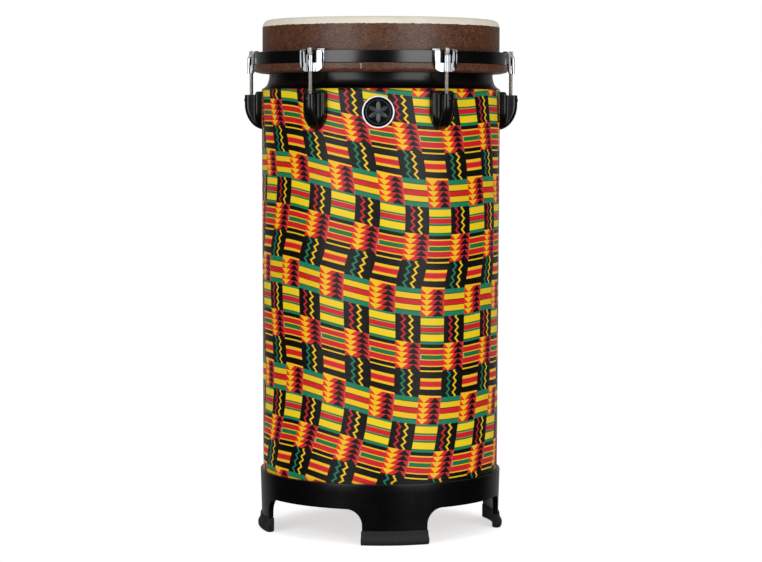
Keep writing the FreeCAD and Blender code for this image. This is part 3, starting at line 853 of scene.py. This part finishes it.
def hook_foot(channel):
    """The U below the slots: wings, the webs beside the channel, and the channel, in one sheet."""
    rows = [HOOK_BOTTOM + up for up in (0, 0.6, 2.0, 4.0, 6.5, 8.5)] + [SLOT_Z]
    points = []
    for z in rows:
        wing = wing_ys(z)
        web = [CHANNEL_FOOT + (wing[-1] - CHANNEL_FOOT) * f for f in (0.67, 0.33)]
        right = [(y, arch(y), z) for y in wing + web]
        left = [(-y, x, height) for y, x, height in reversed(right)]
        points += right + [(y, x, z) for y, x in channel] + left
    return points, grid_faces(len(rows), len(points) // len(rows))


def hook_wing(side):
    """One wing above its slot: up the hoop's face, over its top and down behind it."""
    bend = 4.0
    lip = 1.7
    hoop_sweep_r = 165.0
    front = [(0, SLOT_Z + up) for up in (0, 2.5, 5.5, 8.5, 11.5)] + [(0, HOOK_TOP - bend)]
    front += quarter(-bend, HOOK_TOP - bend, bend, bend, 6)[1:]
    back = [(160.5, HOOK_TOP)]
    back += quarter(HOOK_BACK + lip, HOOK_TOP - lip, -lip, lip, 4)[::-1]
    back += [(HOOK_BACK, HOOK_TOP - 4.3), (HOOK_BACK, HOOK_TOP - 7.0)]
    points = []
    for offset, z in front:
        points += [(side * y, arch(y) + offset, z) for y in wing_ys(z)]
    for x, z in back:
        points += [(side * y, x - y * y / (2 * hoop_sweep_r), z) for y in wing_ys(z)]
    return points, grid_faces(len(front) + len(back), len(wing_ys(SLOT_Z)))


def hook_dome(channel):
    """The channel above the slots, closed by a dome under the rod's flange."""
    strip = channel[3:-3]
    base = arch(CHANNEL_FOOT)
    dome = 3.4
    dome_top = 604.0
    rows = [(0.0, SLOT_Z + up) for up in (0, 2.5, 5.5)] + [(0.0, dome_top - dome)]
    rows += quarter(1.0, dome_top - dome, -1.0, dome, 6)[1:]
    points = []
    for share, z in rows:
        inset = CHANNEL_ROUND * share
        narrow = 1 - inset / CHANNEL_HALF * 0.8
        points += [(y * narrow, x - smoothstep(base, HOOK_FRONT, x) * inset, z) for y, x in strip]
    faces = grid_faces(len(rows), len(strip))
    last = (len(rows) - 1) * len(strip)
    faces.append(tuple(range(last, last + len(strip))))
    return points, faces


def hook_mesh():
    """Pressed claw: arched plate, two wings bent over the hoop, domed channel."""
    channel = channel_outline()
    points, faces = joined([hook_foot(channel), hook_wing(1), hook_wing(-1), hook_dome(channel)])
    mesh = mesh_of("hook_claw", [(x, y, z) for y, x, z in points], faces, crease=70)
    outward = max(mesh.polygons, key=lambda f: f.center.x)
    if outward.normal.x < 0:
        mesh.flip_normals()
    return mesh


def make_hooks():
    mesh = hook_mesh()
    for index, degrees in enumerate(STATIONS, 1):
        hook = place(f"claw_{index}", mesh, CHROME, "head", f"hook_{index}", degrees - 90)
        thicken(hook, 1.5)
        bevel(hook, 0.4, 3, angle=40)


# ---- tension rods
THREAD_PITCH = 0.8
ROD_R = 2.5
SHANK_TOP = 585.0
ROD_SEAT = 604.05


def loft(sections):
    """Closed sections of equal length, joined in order and capped at both ends."""
    count = len(sections[0])
    points = [p for section in sections for p in section]
    faces = grid_faces(len(sections), count, wrap_columns=True)
    faces.append(tuple(range(count)))
    faces.append(tuple(range(len(points) - count, len(points))))
    return points, faces


def square_section(half, corner, z):
    """A rounded square, or a circle when corner equals half."""
    outline = rounded([
        (half, -half, corner), (half, half, corner), (-half, half, corner), (-half, -half, corner),
    ], arc_steps=7)
    return [(x, y, z) for x, y in outline]


def rod_thread():
    """The helical thread, tapered at its end."""
    root_r = 2.06
    taper = 2.0
    turn_steps = 20
    profile = [(0.0, root_r), (0.12, root_r), (0.42, ROD_R), (0.58, ROD_R)]
    rows = int((SHANK_TOP - ROD_END) / THREAD_PITCH) * len(profile)
    points = []
    for row in range(rows):
        share, r = profile[row % len(profile)]
        start = ROD_END + THREAD_PITCH * (row // len(profile) + share)
        r *= smoothstep(0, taper, start - ROD_END) * 0.35 + 0.65
        for step in range(turn_steps + 1):
            angle = 2 * pi * step / turn_steps
            z = start + THREAD_PITCH * step / turn_steps
            points.append((r * cos(angle), r * sin(angle), z))
    return points, grid_faces(rows, turn_steps + 1)


def rod_core():
    """The rod inside its thread, its plain shank, the flange and the square key head."""
    flange_r = 3.7
    key = 2.8
    bars = [(1.3, ROD_END), (1.6, ROD_END + 0.4), (1.9, ROD_END + 1.2), (2.0, SHANK_TOP - 1)]
    bars += [(2.2, SHANK_TOP - 0.6), (ROD_R, SHANK_TOP + 0.4), (ROD_R, ROD_SEAT)]
    bars += [(flange_r - 0.5, ROD_SEAT), (flange_r, ROD_SEAT + 0.25), (flange_r, ROD_SEAT + 0.7)]
    bars += [(flange_r - 0.25, ROD_SEAT + 0.95), (flange_r - 0.6, ROD_SEAT + 1.05)]
    head = [(key - 0.1, 0.9, ROD_SEAT + 1.4), (key, 0.7, ROD_SEAT + 1.8), (key, 0.7, ROD_TOP - 1.0)]
    head += [(key - 0.35, 0.7, ROD_TOP - 0.45), (key - 0.9, 0.8, ROD_TOP - 0.1), (key - 1.5, 1.0, ROD_TOP)]
    sections = [square_section(r, r, z) for r, z in bars]
    sections += [square_section(half, corner, z) for half, corner, z in head]
    return loft(sections)


def make_rods():
    points, faces = joined([rod_thread(), rod_core()])
    mesh = mesh_of("rod", points, faces, crease=30)
    mesh.transform(Matrix.Translation((ROD_AXIS_R * MM, 0, 0)))
    for index, degrees in enumerate(STATIONS, 1):
        node = f"tension_rod_{index}"
        place(f"rod_{index}_threaded", mesh, ZINC, f"rod_{index}", node, degrees - 90)


# ---- lugs, modelled on the +X side
LUG_DEEP = 148.0
PLATE_THICK = 12.5
PLATE_STRAIGHT = 530.0
LUG_BOWL = 535.0
BOSS_HALF = 7.25
BOSS_THICK = 26.5
BOSS_STRAIGHT = 543.0
BOSS_TOP = 555.0


def bowl_share(z, straight):
    """1 from the height called straight upwards, curving down to 0 at the lug's bottom."""
    return sqrt(max(0.0, 1 - (max(0.0, straight - z) / (straight - LUG_BOTTOM)) ** 2))


def lug_section(z, boss=True, boss_inset=0.0, plate_inset=0.0):
    """Plan outline of the lug at a height, from its right edge to its left edge."""
    skin = cloth_r(z) - 0.4
    plate_half = max(0.02, LUG_HALF * bowl_share(z, LUG_BOWL) - plate_inset)
    plate_x = max(skin, LUG_DEEP + PLATE_THICK * bowl_share(z, PLATE_STRAIGHT) - 1.15 * plate_inset)
    boss_x = plate_x
    if boss:
        boss_x = max(plate_x, LUG_DEEP + BOSS_THICK * bowl_share(z, BOSS_STRAIGHT) - boss_inset)
    boss_half = min(BOSS_HALF, 0.72 * plate_half) - boss_inset
    edge_r = min(2.9, 0.85 * (plate_x - skin), 0.4 * plate_half)
    rise = boss_x - plate_x
    valley_r = min(1.8, 0.4 * rise, 0.6 * (plate_half - edge_r - boss_half))
    nose_r = min(5.6, 0.6 * rise, 0.8 * boss_half)
    flat_from, flat_to = plate_half - edge_r, boss_half + valley_r
    half = [(plate_half, sqrt(skin ** 2 - plate_half ** 2)), (plate_half, plate_x - edge_r)]
    half += quarter(flat_from, plate_x - edge_r, edge_r, edge_r, 6)[1:]
    half += [(flat_from + (flat_to - flat_from) * f, plate_x) for f in (0.08, 0.5, 0.92)]
    half += quarter(flat_to, plate_x + valley_r, -valley_r, -valley_r, 5)[::-1]
    half += quarter(boss_half - nose_r, boss_x - nose_r, nose_r, nose_r, 7)
    half += [((boss_half - nose_r) * 0.5, boss_x)]
    outline = half + [(0, boss_x)] + [(-y, x) for y, x in reversed(half)]
    return [(x, y, z) for y, x in outline]


def lug_body():
    """Shield-shaped plate, bowl-shaped below, with a boss for the rod's insert."""
    boss_round = 0.9
    corner = 4.2
    corner_inset = 0.75 * corner
    heights = [LUG_BOWL - (LUG_BOWL - LUG_BOTTOM) * cos(a) for a in steps(0.03, pi / 2, 18)]
    heights += steps(LUG_BOWL + 1.5, BOSS_TOP - boss_round, 9)
    sections = [lug_section(z) for z in heights]
    boss_edge = quarter(boss_round, BOSS_TOP - boss_round, -boss_round, boss_round, 4)[1:]
    sections += [lug_section(z, boss_inset=inset) for inset, z in boss_edge]
    sections.append(lug_section(BOSS_TOP, boss=False))
    plate_edge = quarter(corner_inset, LUG_TOP - corner, -corner_inset, corner, 7)[1:]
    sections += [lug_section(z, boss=False, plate_inset=inset) for inset, z in plate_edge]
    return loft(sections)


def lug_pad():
    """The round pad on the boss's nose."""
    pad_x, pad_z = 174.1, 548.5
    rows = []
    for t in steps(0, pi / 2, 5):
        size = 2.5 * cos(t) + 0.02
        out = pad_x + 1.25 * sin(t)
        turn = steps(0, 2 * pi, 20)[:-1]
        rows.append([(out, size * sin(a), pad_z + 1.15 * size * cos(a)) for a in turn])
    return loft(rows)


def drilled(mesh, x, radius, low, high):
    """The mesh with a round upright hole cut into it."""
    body = in_scene("drilled_body", mesh)
    ends = [[(x + px, py, z) for px, py, _ in square_section(radius, radius, 0)] for z in (low, high)]
    drill = in_scene("drill", mesh_of("drill", *loft(ends)))
    cut = body.modifiers.new("hole", "BOOLEAN")
    cut.object = drill
    cut.solver = "EXACT"
    bpy.context.view_layer.update()
    result = bpy.data.meshes.new_from_object(body.evaluated_get(bpy.context.evaluated_depsgraph_get()))
    for made in (body, drill):
        bpy.data.objects.remove(made)
    clean(result, 42)
    return result


def make_lugs():
    bore_r = 3.1
    bore_bottom = 541.0
    points, faces = joined([lug_body(), lug_pad()])
    solid = mesh_of("lug_body", points, faces, crease=42)
    mesh = drilled(solid, ROD_AXIS_R, bore_r, bore_bottom, BOSS_TOP + 2)
    for index, degrees in enumerate(STATIONS, 1):
        node = f"lug_{index}"
        lug = place(f"{node}_moulded", mesh, LUG_BLACK, "drum", node, degrees - 90)
        bevel(lug, 0.25, 2, angle=55)


# ---- badge
FACE_PROUD = 1.5


def badge_point(radius, degrees, proud):
    """A point on the shell's front, radius from the badge's centre and proud of the cloth."""
    angle = radians(degrees)
    x, z = radius * sin(angle), BADGE_Z + radius * cos(angle)
    return (x, -sqrt((cloth_r(z) + proud) ** 2 - x * x), z)


def badge_ring(profile, count=120):
    """A ring on the shell's front from a closed outline of (radius, proud) points."""
    points = [badge_point(r, 360.0 * i / count, proud) for i in range(count) for r, proud in profile]
    return points, grid_faces(count, len(profile), wrap_rows=True, wrap_columns=True)


def petal(turn):
    """One ridged petal, pointed at both ends, at turn degrees from the top."""
    length = 12.6
    widest = 2.5
    foot = FACE_PROUD - 0.15
    sections = []
    for t in steps(0.02, pi - 0.02, 14):
        along = 0.5 * length * (1 - cos(t)) + 0.6
        half = widest * sin(t) ** 1.2 + 0.03
        ridge = FACE_PROUD + 0.75 * sin(t) ** 0.6
        profile = ((half, foot), (half, FACE_PROUD), (0, ridge), (-half, FACE_PROUD), (-half, foot))
        section = []
        for y, proud in profile:
            degrees = turn + in_degrees(atan2(y, along))
            section.append(badge_point(hypot(along, y), degrees, proud))
        sections.append(section)
    return loft(sections)


def make_badge():
    """Satin rim, black face, and a plain flower in a thin ring."""
    inner_r = BADGE_R - 1.7
    proud = 2.35
    rim = rounded([(BADGE_R, -0.3, 0), (BADGE_R, proud, 0.9), (inner_r, proud, 0.7), (inner_r, -0.3, 0)])
    build("badge_rim_ring", badge_ring(rim), SATIN, "drum", "badge_rim", crease=60)

    face_r = inner_r + 0.2
    face = [(r, FACE_PROUD) for r in steps(0, face_r, 14)] + [(face_r, 0), (0, 0)]
    build("badge_face_plate", badge_ring(face), ENAMEL, "drum", "badge_face")

    thin = rounded([(15.3, 1.4, 0), (15.3, 2.0, 0.25), (14.3, 2.0, 0.25), (14.3, 1.4, 0)])
    hub = [(0, 1.35), (2.0, 1.35), (2.0, 1.9), (1.5, 2.35), (0.8, 2.5), (0, 2.5)]
    petals = [petal(index * 60.0) for index in range(6)]
    flower = joined([badge_ring(thin)] + petals + [badge_ring(hub, 32)])
    build("badge_flower", flower, ETCHED, "drum", "badge_motif", crease=32)


# ---- base ring and shoes
ARCH_Z = BASE_BOTTOM + 40.4
ARCH_FILLET = 20.0
SKIRT_LOW = ARCH_Z - ARCH_FILLET
LEG_INNER = 146.8


def base_r(z):
    """Outside radius of the base ring, which widens a little upwards."""
    return BASE_R + (BASE_R_TOP - BASE_R) * (z - ARCH_Z) / (BASE_TOP - ARCH_Z)


def base_edge():
    """The ring's lower edge, once round: (degrees, height, whether inside a leg)."""
    fillet_deg = in_degrees(ARCH_FILLET / BASE_R)
    side = LEG_HALF + fillet_deg
    fillet = quarter(side, SKIRT_LOW, -fillet_deg, ARCH_FILLET, 10)[1:]
    edge = []
    for leg in LEGS:
        edge += [(leg + d, SKIRT_LOW, True) for d in steps(-LEG_HALF, LEG_HALF, 20)]
        edge += [(leg + d, z, False) for d, z in fillet]
        edge += [(leg + d, ARCH_Z, False) for d in steps(side, 90 - side, 30)[1:-1]]
        edge += [(leg + 90 - d, z, False) for d, z in reversed(fillet)]
    return edge


def base_wall():
    """Ring with an edge ring above and four arches below, open where the legs go on."""
    ledge_r = 142.0
    rim = 1.3
    rim_inner = CLOTH_R_BOTTOM + 0.05
    edge = base_edge()
    points = []
    for degrees, low, _ in edge:
        heights = (low, 0.5 * (low + ARCH_Z + 8), ARCH_Z + 10, ARCH_Z + 20, BASE_TOP - rim)
        column = [(base_r(z), z) for z in heights]
        column += quarter(BASE_R_TOP - rim, BASE_TOP - rim, rim, rim, 4)[1:]
        column += [(rim_inner, BASE_TOP), (rim_inner, SHELL_BOTTOM), (ledge_r, SHELL_BOTTOM)]
        column += [(ledge_r, ARCH_Z), (LEG_INNER, ARCH_Z), (LEG_INNER, low)]
        points += [polar(r, degrees, z) for r, z in column]
    size = len(column)
    faces = grid_faces(len(edge), size, wrap_rows=True)
    for i, (_, _, in_leg) in enumerate(edge):
        j = (i + 1) % len(edge)
        if not (in_leg and edge[j][2]):
            faces.append((i * size + size - 1, j * size + size - 1, j * size, i * size))
    return points, faces


def leg_block(leg):
    """The lower part of a leg, closed below."""
    span = steps(-LEG_HALF, LEG_HALF, 20)
    outline = [(base_r(SKIRT_LOW), leg + d) for d in span]
    outline += [(LEG_INNER, leg + d) for d in reversed(span)]
    points = [polar(r, degrees, z) for z in (SKIRT_LOW, BASE_BOTTOM) for r, degrees in outline]
    size = len(outline)
    return points, grid_faces(2, size, wrap_columns=True) + [tuple(range(size, 2 * size))]


def make_base():
    shape = joined([base_wall()] + [leg_block(leg) for leg in LEGS])
    ring = build("base_ring_moulding", shape, MOULDING, "drum", "base_ring", crease=40)
    bevel(ring, 0.7, 3, angle=55)


def shoe_section(inset):
    """Upright outline of the rubber shoe, in (r, z)."""
    inner_r, outer_r, toe = LEG_INNER - 1.0, BASE_R + 1.0, BASE_R + 4.2
    return rounded([
        (inner_r + inset, 0, 2.6), (toe - inset, 0, 4.6), (toe - inset, 6.8, 1.9),
        (outer_r + 0.4 - inset, 12.0, 4.5), (outer_r - inset, SHOE_TOP - inset, 0.9),
        (inner_r + inset, SHOE_TOP - inset, 0.9),
    ])


def make_shoes():
    """A shoe round each leg, with its upright ends rounded off."""
    half = LEG_HALF + in_degrees(1.1 / BASE_R)
    end_r = 1.6
    end_deg = in_degrees(end_r / BASE_R)
    end = quarter(-half + end_deg, end_r, -end_deg, -end_r, 5)
    stations = end + [(d, 0.0) for d in steps(-half + 2, half - 2, 16)]
    stations += [(-d, inset) for d, inset in reversed(end)]
    for index, leg in enumerate(LEGS, 1):
        sections = [[polar(r, leg + d, z) for r, z in shoe_section(inset)] for d, inset in stations]
        name, node = f"shoe_{index}_rubber", f"foot_shoe_{index}"
        build(name, loft(sections), RUBBER, "drum", node, crease=50)


# ---- CAD pieces that stay
def dress_cad():
    """Materials of the CAD nodes that are shown as they are."""
    for name in ("shell", "lug_inserts", "lug_screws", "lug_washers", "base_screws"):
        materials = frame["nodes"][name].data.materials
        materials.clear()
        materials.append(BOARD if name == "shell" else ZINC)


# ---- studio
def floor_look():
    """Pale floor that turns into plain glowing white away from the drum."""
    look = Look(
        "studio_floor", Base_Color=(0.82, 0.82, 0.82, 1), Roughness=0.9, Specular_IOR_Level=0.0,
        Emission_Color=(1, 1, 1, 1), Emission_Strength=0.6,
    )
    x, y, _ = parts_of(look.tree, look.node("TexCoord").outputs["Object"])
    far = look.number(((x * x + y * y).sqrt() - 0.12) * 3.0, 0.0, 1.0)
    glow = look.node("Emission")
    set_inputs(glow, Strength=1.0)
    blend = look.node("MixShader")
    look.link(far, blend.inputs[0])
    look.link(look.shader.outputs[0], blend.inputs[1])
    look.link(glow.outputs[0], blend.inputs[2])
    look.link(blend.outputs[0], first_of(look.tree, "OUTPUT_MATERIAL").inputs["Surface"])
    return look.material


def make_floor():
    """A round floor, in metres."""
    rings = [0.0, 0.3, 0.6, 1.0, 1.6, 2.6, 4.0]
    turn = steps(0, 2 * pi, 64)[:-1]
    mesh = bpy.data.meshes.new("floor")
    points = [(r * cos(a), r * sin(a), 0) for r in rings for a in turn]
    mesh.from_pydata(points, [], grid_faces(len(rings), len(turn), wrap_columns=True))
    clean(mesh)
    mesh.materials.append(floor_look())
    floor = in_scene("floor", mesh)
    floor.visible_glossy = False


def softbox(name, azimuth, distance, width, height, centre_z, radiance, only=None):
    """An area light facing the drum, for all pieces or only some; radiance is how bright it looks."""
    light = bpy.data.lights.new(name, "AREA")
    light.shape = "RECTANGLE"
    light.size = width
    light.size_y = height
    light.energy = radiance * pi * width * height
    box = in_scene(name, light)
    box.location = polar(distance, azimuth, centre_z)
    target = Vector((0, 0, 0.4))
    box.rotation_euler = (target - box.location).to_track_quat("-Z", "Y").to_euler()
    box.visible_camera = False
    if only:
        box.light_linking.receiver_collection = only
    return box


def metal_pieces():
    """The pieces of bright metal, which get reflector cards of their own."""
    bright = (CHROME, SATIN, ETCHED, ZINC)
    group = bpy.data.collections.new("bright_metal")
    for piece in bpy.context.scene.objects:
        if piece.type == "MESH" and piece.data.materials and piece.data.materials[0] in bright:
            group.objects.link(piece)
    return group


def make_world():
    """White to the camera and as fill light; in reflections only the backdrop behind the drum is bright."""
    world = bpy.data.worlds.new("studio")
    bpy.context.scene.world = world
    world.use_nodes = True
    world.cycles.sampling_method = "NONE"
    tree = world.node_tree
    background = first_of(tree, "BACKGROUND")
    set_inputs(background, Color=(1, 1, 1, 1))
    path = tree.nodes.new("ShaderNodeLightPath")
    _, behind, above = parts_of(tree, tree.nodes.new("ShaderNodeTexCoord").outputs["Generated"])
    wall = ((behind - 0.45) * 0.5).at_least(0.012)
    backdrop = ((behind - 0.88) * 4.0).at_least(wall)
    ceiling = ((above - 0.35) * 0.9).at_least(0.0)
    mirrored = backdrop.at_least(ceiling)
    camera, glossy = Num(tree, path.outputs["Is Camera Ray"]), Num(tree, path.outputs["Is Glossy Ray"])
    fill = 0.46
    level = glossy * (mirrored - fill) + fill
    level = camera * (level * -1 + 1.0) + level
    tree.links.new(level.socket, background.inputs["Strength"])


def make_lights():
    """Two tall softboxes and one overhead, and reflector cards that only the bright metal receives."""
    away = 2.6
    tall = 1.9
    softbox("key_left", -36, away, 1.45, tall, 0.95, 2.9)
    softbox("key_right", 35, away, 1.6, tall, 0.95, 2.9)
    softbox("overhead", 0, 0.0, 1.6, 1.6, 2.4, 1.2)
    bright_metal = metal_pieces()
    for azimuth, width in ((-70, 1.0), (68, 1.0), (112, 0.8), (150, 0.9), (-150, 0.9), (-112, 0.8)):
        softbox(f"card_{azimuth}", azimuth, away, width, tall, 0.75, 0.9, bright_metal)
    floor_card = softbox("card_floor", 0, 0, 4.0, 4.0, 0.002, 0.6, bright_metal)
    floor_card.rotation_euler = (pi, 0, 0)


def make_camera():
    """The view of the drum's front, from a little above its middle."""
    turn = radians(1.2)
    down = radians(3.953)
    roll = radians(0.12)
    side, distance, height = 0.0006, 3.0056, 0.524
    camera = in_scene("camera", bpy.data.cameras.new("camera"))
    camera.data.lens = 110.55
    camera.data.sensor_width = 36.0
    x = distance * sin(turn) + side * cos(turn)
    y = side * sin(turn) - distance * cos(turn)
    camera.location = (x, y, height)
    camera.rotation_euler = (pi / 2 - down, 0, turn)
    camera.rotation_euler.rotate_axis("Z", roll)
    bpy.context.scene.camera = camera
    bpy.context.scene.view_settings.view_transform = "Standard"


make_cloth()
make_neck()
make_head()
make_flesh_hoop()
make_seam()
make_counter_hoop()
make_hooks()
make_rods()
make_lugs()
make_badge()
make_base()
make_shoes()
dress_cad()
make_floor()
make_world()
make_lights()
make_camera()
